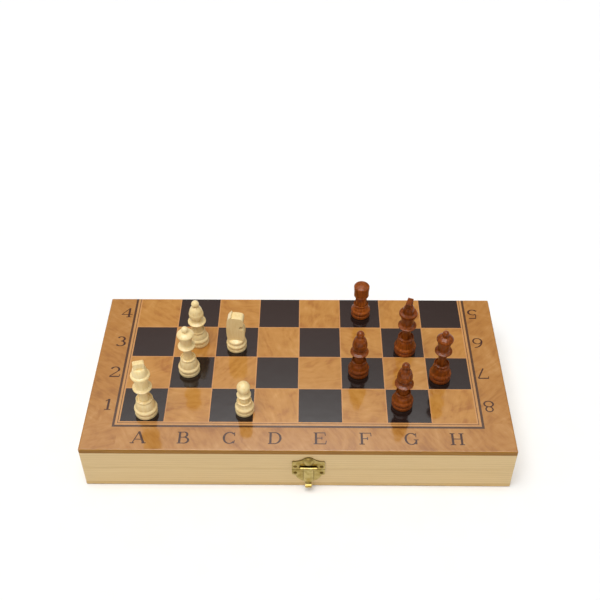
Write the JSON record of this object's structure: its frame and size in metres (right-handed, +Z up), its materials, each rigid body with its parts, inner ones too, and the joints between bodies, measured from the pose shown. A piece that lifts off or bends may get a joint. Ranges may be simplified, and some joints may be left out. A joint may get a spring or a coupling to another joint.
{
  "type": "folding games case",
  "caption": "Folding wooden games case with a chess board outside, backgammon points inside, a brass clasp, butt hinges, chessmen, draughts and dice.",
  "frame": {"origin": "centre of the closed case's underside, which it lies on", "axes": "+X to the right along the fold, seen from the clasp; +Y from the clasp to the hinges; +Z up"},
  "size_m": [0.34, 0.1783, 0.1026],
  "materials": {
    "board_print": "satin lacquered burl print, brown stained edge",
    "pine": "pale pine with a thin satin lacquer",
    "black_print": "black print under gloss lacquer",
    "dark_point": "dark brown print under satin lacquer",
    "light_point": "pale print under satin lacquer",
    "hinge_brass": "plain brass",
    "clasp_brass": "aged brass, dark in the recesses",
    "light_men": "turned pale wood, gloss lacquer",
    "dark_men": "turned red-brown wood, gloss lacquer",
    "light_draught": "turned pale wood, gloss lacquer",
    "dark_draught": "turned red-brown wood, gloss lacquer",
    "die_white": "gloss, with dark pips"
  },
  "bodies": {
    "lower_half": {"lower_panel": "board_print", "lower_front_rail": "pine", "lower_back_rail": "pine", "lower_left_rail": "pine", "lower_right_rail": "pine", "lower_dark_squares": "black_print", "lower_border_lines": "black_print", "lower_points_dark": "dark_point", "lower_points_light": "light_point", "left_hinge_lower_leaf": "hinge_brass", "left_hinge_pin": "hinge_brass", "right_hinge_lower_leaf": "hinge_brass", "right_hinge_pin": "hinge_brass", "hinge_screws_lower": "hinge_brass", "clasp_lower_plate": "clasp_brass", "clasp_nails_lower": "clasp_brass", "boxed_white_pawns": "light_men", "boxed_white_rooks": "light_men", "boxed_white_bishop": "light_men", "boxed_white_knight": "light_men", "boxed_dark_pawns": "dark_men", "boxed_dark_rook": "dark_men", "boxed_dark_knights": "dark_men", "light_draughts": "light_draught", "dark_draughts": "dark_draught", "dice": "die_white"},
    "upper_half": {"upper_panel": "board_print", "upper_front_rail": "pine", "upper_back_rail": "pine", "upper_left_rail": "pine", "upper_right_rail": "pine", "upper_dark_squares": "black_print", "upper_border_lines": "black_print", "upper_points_dark": "dark_point", "upper_points_light": "light_point", "left_hinge_upper_leaf": "hinge_brass", "right_hinge_upper_leaf": "hinge_brass", "hinge_screws_upper": "hinge_brass", "clasp_upper_plate": "clasp_brass", "clasp_pin": "clasp_brass", "clasp_nails_upper": "clasp_brass"},
    "clasp_tongue": {"clasp_tongue": "clasp_brass"},
    "white_king": {"white_king": "light_men"},
    "white_queen": {"white_queen": "light_men"},
    "white_bishop": {"white_bishop": "light_men"},
    "white_knight": {"white_knight": "light_men"},
    "white_pawn": {"white_pawn": "light_men"},
    "dark_king": {"dark_king": "dark_men"},
    "dark_queen": {"dark_queen": "dark_men"},
    "dark_bishop_front": {"dark_bishop_front": "dark_men"},
    "dark_bishop_back": {"dark_bishop_back": "dark_men"},
    "dark_rook": {"dark_rook": "dark_men"}
  },
  "joints": [
    {"name": "lid_hinge", "type": "hinge", "parent": "lower_half", "child": "upper_half", "pos_m": [0, 0.08515, 0.0225], "axis": [-1, 0, 0], "range_deg": [0, 180]},
    {"name": "clasp_swing", "type": "hinge", "parent": "upper_half", "child": "clasp_tongue", "pos_m": [0.0085, -0.08725, 0.0255], "axis": [-1, 0, 0], "range_deg": [0, 110]},
    {"name": "lift_white_king", "type": "slide", "parent": "upper_half", "child": "white_king", "axis": [0, 0, 1], "range_m": [0, 0.08]},
    {"name": "lift_white_queen", "type": "slide", "parent": "upper_half", "child": "white_queen", "axis": [0, 0, 1], "range_m": [0, 0.08]},
    {"name": "lift_white_bishop", "type": "slide", "parent": "upper_half", "child": "white_bishop", "axis": [0, 0, 1], "range_m": [0, 0.08]},
    {"name": "lift_white_knight", "type": "slide", "parent": "upper_half", "child": "white_knight", "axis": [0, 0, 1], "range_m": [0, 0.08]},
    {"name": "lift_white_pawn", "type": "slide", "parent": "upper_half", "child": "white_pawn", "axis": [0, 0, 1], "range_m": [0, 0.08]},
    {"name": "lift_dark_king", "type": "slide", "parent": "upper_half", "child": "dark_king", "axis": [0, 0, 1], "range_m": [0, 0.08]},
    {"name": "lift_dark_queen", "type": "slide", "parent": "upper_half", "child": "dark_queen", "axis": [0, 0, 1], "range_m": [0, 0.08]},
    {"name": "lift_dark_bishop_front", "type": "slide", "parent": "upper_half", "child": "dark_bishop_front", "axis": [0, 0, 1], "range_m": [0, 0.08]},
    {"name": "lift_dark_bishop_back", "type": "slide", "parent": "upper_half", "child": "dark_bishop_back", "axis": [0, 0, 1], "range_m": [0, 0.08]},
    {"name": "lift_dark_rook", "type": "slide", "parent": "upper_half", "child": "dark_rook", "axis": [0, 0, 1], "range_m": [0, 0.08]}
  ]
}
